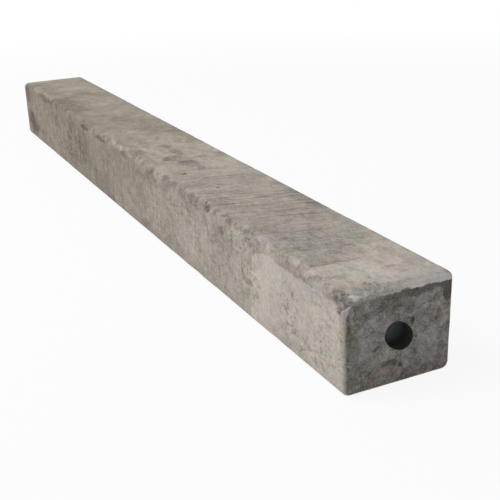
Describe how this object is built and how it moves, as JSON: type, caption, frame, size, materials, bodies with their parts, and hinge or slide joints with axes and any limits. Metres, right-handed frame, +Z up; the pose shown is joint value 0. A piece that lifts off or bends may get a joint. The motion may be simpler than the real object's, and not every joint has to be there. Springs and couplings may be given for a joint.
{
  "type": "concrete lintel",
  "caption": "Precast concrete lintel: a straight beam of near-square section with rounded edges, a round core hole from end to end and a broken top corner.",
  "frame": {"origin": "under the middle of the beam, in the plane of its underside", "axes": "+X along the length towards the end with the broken corner, +Y across the width towards the unbroken side, +Z up"},
  "size_m": [1.4, 0.14, 0.12],
  "materials": {
    "concrete": "rough, grey-beige cast concrete"
  },
  "bodies": {
    "root": {"lintel": "concrete"}
  },
  "joints": []
}
